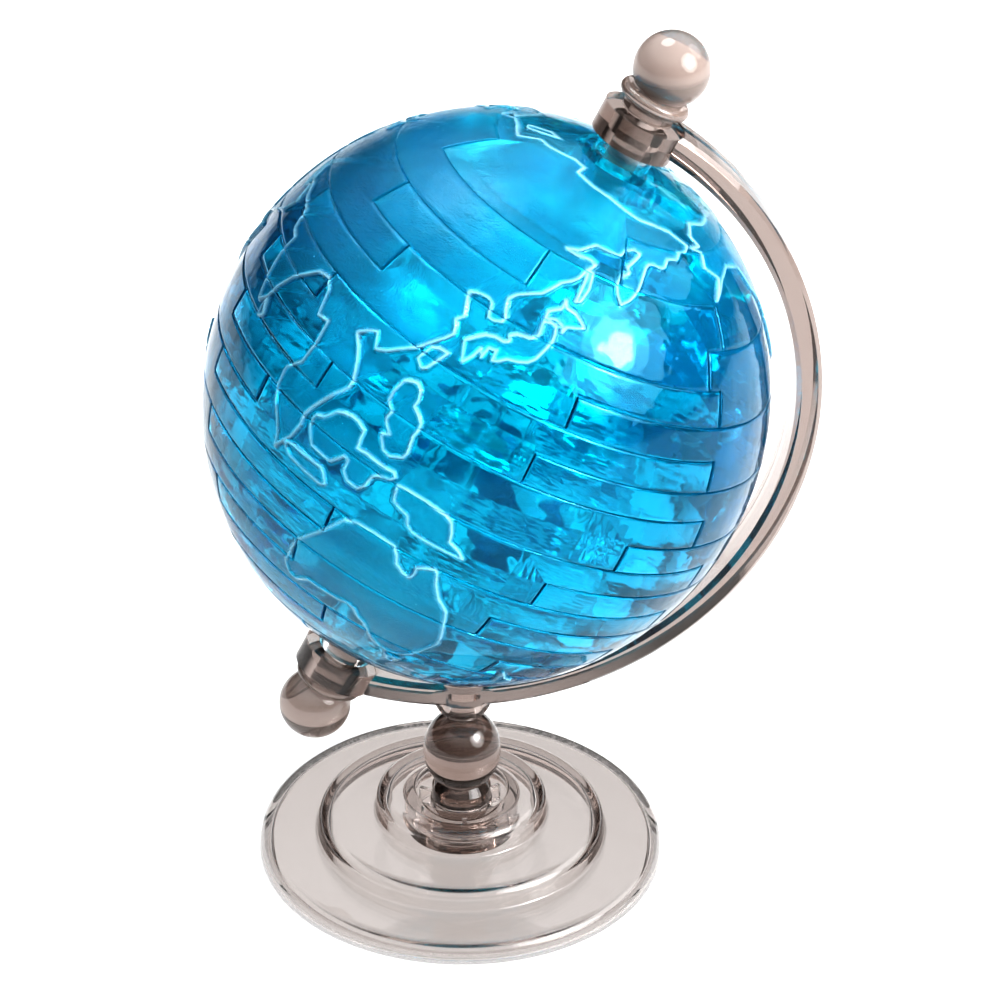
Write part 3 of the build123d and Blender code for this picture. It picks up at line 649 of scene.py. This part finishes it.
# %% Blue puzzle plastic
blue, tree, shader, out = new_material("puzzle_blue_plastic")
absorb(tree, out, (0.0, 0.944, 0.974), 450.0)
coords = add_node(tree, "ShaderNodeTexCoord").outputs["Object"]
land = add_node(tree, "ShaderNodeAttribute", attribute_name="land").outputs["Fac"]
grain = add_node(tree, "ShaderNodeTexNoise",
                 {"Vector": coords, "Scale": 2600.0, "Detail": 2.0, "Roughness": 0.6})
waves = add_node(tree, "ShaderNodeTexNoise",
                 {"Vector": coords, "Scale": 160.0, "Detail": 2.0, "Roughness": 0.5})
grain_on_land = add_node(tree, "ShaderNodeMath",
                         {0: grain.outputs["Fac"], 1: land}, operation="MULTIPLY")
rough = add_node(tree, "ShaderNodeMapRange", {"Value": grain_on_land.outputs[0],
                                              "To Min": 0.06, "To Max": 0.34})
grain_bump = add_node(tree, "ShaderNodeBump", {"Height": grain_on_land.outputs[0],
                                               "Strength": 0.6, "Distance": 0.00012})
wave_bump = add_node(tree, "ShaderNodeBump", {"Height": waves.outputs["Fac"], "Strength": 0.4,
                                              "Distance": 0.0006,
                                              "Normal": grain_bump.outputs[0]})
shader.inputs["Base Color"].default_value = (0.90, 0.985, 1.0, 1)
shader.inputs["Transmission Weight"].default_value = 1.0
shader.inputs["IOR"].default_value = 1.49
tint = add_node(tree, "ShaderNodeMix", {0: waves.outputs["Fac"], 6: (0.0, 0.30, 0.58, 1),
                                        7: (0.0, 0.46, 0.72, 1)}, data_type="RGBA")
body = add_node(tree, "ShaderNodeBsdfPrincipled")
shader.inputs["Specular Tint"].default_value = (0.18, 0.72, 1.0, 1)
body.inputs["Specular Tint"].default_value = (0.18, 0.72, 1.0, 1)
for clear_or_body in (shader, body):
    tree.links.new(rough.outputs[0], clear_or_body.inputs["Roughness"])
    tree.links.new(wave_bump.outputs[0], clear_or_body.inputs["Normal"])
cloud = add_node(tree, "ShaderNodeMapRange", {"Value": land, "To Min": 0.05, "To Max": 0.11})
coast = add_node(tree, "ShaderNodeAttribute", attribute_name="coast").outputs["Fac"]
# Painted highlight: along the coasts the body's share grows and its colour turns pale.
body_share_with_coast_highlight = add_node(tree, "ShaderNodeMath", {0: coast, 1: 0.26, 2: cloud.outputs[0]},
                 operation="MULTIPLY_ADD")
body_colour_with_coast_highlight = add_node(tree, "ShaderNodeMix", {0: coast, 6: tint.outputs[2],
                                              7: (0.50, 0.86, 1.0, 1)}, data_type="RGBA")
tree.links.new(body_colour_with_coast_highlight.outputs[2], body.inputs["Base Color"])
blend = add_node(tree, "ShaderNodeMixShader", {0: body_share_with_coast_highlight.outputs[0], 1: shader.outputs[0],
                                               2: body.outputs[0]})
tree.links.new(blend.outputs[0], out.inputs["Surface"])
for piece in globe_pieces:
    piece.data.materials.append(blue)

# %% Smoky and clear plastic
def smoky_plastic(name, density, body_share):
    """Clear gloss plastic with a warm grey tint, a faint flow ripple and uneven polish, and
    a share of cloudy body that evens out what is seen through it."""
    material, tree, shader, out = new_material(name)
    absorb(tree, out, (0.50, 0.41, 0.37), density)
    coords = add_node(tree, "ShaderNodeTexCoord").outputs["Object"]
    flow = add_node(tree, "ShaderNodeTexNoise", {"Vector": coords, "Scale": 90.0, "Detail": 2.0})
    ripple = add_node(tree, "ShaderNodeBump", {"Height": flow.outputs["Fac"], "Strength": 0.12,
                                               "Distance": 0.0004})
    body = add_node(tree, "ShaderNodeBsdfPrincipled", {"Base Color": (0.44, 0.35, 0.31, 1)})
    polish = add_node(tree, "ShaderNodeMapRange", {"Value": flow.outputs["Fac"],
                                                   "To Min": 0.01, "To Max": 0.035})
    for clear_or_body in (shader, body):
        tree.links.new(polish.outputs[0], clear_or_body.inputs["Roughness"])
        tree.links.new(ripple.outputs[0], clear_or_body.inputs["Normal"])
    shader.inputs["Base Color"].default_value = (0.97, 0.95, 0.94, 1)
    shader.inputs["Transmission Weight"].default_value = 1.0
    shader.inputs["IOR"].default_value = 1.49
    blend = add_node(tree, "ShaderNodeMixShader", {0: body_share, 1: shader.outputs[0],
                                                   2: body.outputs[0]})
    tree.links.new(blend.outputs[0], out.inputs["Surface"])
    return material


clear, tree, shader, out = new_material("water_clear_plastic")
absorb(tree, out, (0.75, 0.92, 1.0), 12.0)
coords = add_node(tree, "ShaderNodeTexCoord").outputs["Object"]
flow = add_node(tree, "ShaderNodeTexNoise", {"Vector": coords, "Scale": 120.0, "Detail": 2.0})
polish = add_node(tree, "ShaderNodeMapRange", {"Value": flow.outputs["Fac"], "To Min": 0.01,
                                               "To Max": 0.04})
tree.links.new(polish.outputs[0], shader.inputs["Roughness"])
shader.inputs["Base Color"].default_value = (0.98, 0.98, 0.98, 1)
shader.inputs["Transmission Weight"].default_value = 1.0
shader.inputs["IOR"].default_value = 1.49

smoke_base = smoky_plastic("smoke_base_plastic", 145.0, 0.0)
smoke_arm = smoky_plastic("smoke_arm_plastic", 250.0, 0.04)
smoke_knob = smoky_plastic("smoke_knob_plastic", 215.0, 0.26)
for node, material in (("base_plate", smoke_base), ("column", smoke_arm),
                       ("meridian_arm", smoke_arm), ("upper_knob", smoke_knob),
                       ("lower_knob", smoke_knob)):
    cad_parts[node].data.materials.clear()
    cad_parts[node].data.materials.append(material)
base.data.materials.append(smoke_base)
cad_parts["axle_tube"].data.materials.clear()
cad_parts["axle_tube"].data.materials.append(clear)

# %% [markdown]
# ## Studio
# A pale grey floor that also glows shows white right up to the base, even in the shade.
# The key light is four round panels of growing size in one place, so its highlight
# fades outwards, and two more soft panels and a dome fill in.

# %% Floor and lights
def panel(name, at, aim, size, power, spread=180):
    light = bpy.data.objects.new(name, bpy.data.lights.new(name, "AREA"))
    light.data.shape, light.data.size, light.data.size_y = "ELLIPSE", size[0], size[1]
    light.data.energy = power
    light.data.spread = radians(spread)
    d = unit(np.array(at, float) - np.array(aim, float))
    x = unit(np.cross((0, 0, 1), d))
    m = np.eye(4)
    m[:3, 0], m[:3, 1], m[:3, 2], m[:3, 3] = x, np.cross(d, x), d, at
    light.matrix_world = Matrix(m)
    bpy.context.scene.collection.objects.link(light)
    return light


floor_mesh = bpy.data.meshes.new("floor")
floor_mesh.from_pydata([(-4, -4, 0), (4, -4, 0), (4, 4, 0), (-4, 4, 0)], [], [(0, 1, 2, 3)])
floor = bpy.data.objects.new("floor", floor_mesh)
bpy.context.scene.collection.objects.link(floor)
paper, tree, shader, out = new_material("floor_paper")
shader.inputs["Base Color"].default_value = (0.35, 0.35, 0.35, 1)
shader.inputs["Roughness"].default_value = 0.9
shader.inputs["Specular IOR Level"].default_value = 0.1
shader.inputs["Emission Color"].default_value = (1, 1, 1, 1)
ground = add_node(tree, "ShaderNodeTexCoord").outputs["Object"]
reach = add_node(tree, "ShaderNodeVectorMath", {0: ground}, operation="LENGTH")
glow = add_node(tree, "ShaderNodeMapRange", {"Value": reach.outputs["Value"], "From Min": 1.0,
                                             "From Max": 1.6, "To Min": 0.42, "To Max": 0.0})
tree.links.new(glow.outputs[0], shader.inputs["Emission Strength"])
floor.data.materials.append(paper)

world = bpy.data.worlds.new("studio")
world.use_nodes = True
sky = world.node_tree
sky.nodes["Background"].inputs[0].default_value = (0.96, 0.98, 1.0, 1)
heading = add_node(sky, "ShaderNodeTexCoord").outputs["Generated"]
height = add_node(sky, "ShaderNodeSeparateXYZ", {0: heading}).outputs["Z"]
dome = add_node(sky, "ShaderNodeMapRange", {"Value": height, "From Min": 0.3, "From Max": 0.75,
                                            "To Min": 0.05, "To Max": 1.3})
sky.links.new(dome.outputs[0], sky.nodes["Background"].inputs[1])
bpy.context.scene.world = world
for ring, (width, power) in enumerate(((0.15, 3.6), (0.27, 3.4), (0.45, 4.2), (0.75, 6.0))):
    panel(f"key_panel_{ring}", (0.59, -0.40, 0.51), (0, 0, 0.08), (width, width), power)
panel("side_panel", (0.95, 0.25, 0.75), (0, 0, 0.08), (0.7, 0.7), 1.8)
panel("top_panel", (-0.10, 0.30, 1.0), (0, 0, 0.08), (0.5, 0.5), 3.0)

# %% Light paths for many clear walls, and colours shown as they are
scene = bpy.context.scene
scene.cycles.max_bounces = 30
scene.cycles.transmission_bounces = 30
scene.cycles.glossy_bounces = 8
scene.cycles.diffuse_bounces = 4
scene.cycles.transparent_max_bounces = 8
scene.view_settings.view_transform = "Standard"
scene.view_settings.look = "High Contrast"
scene.view_settings.exposure = 0.1
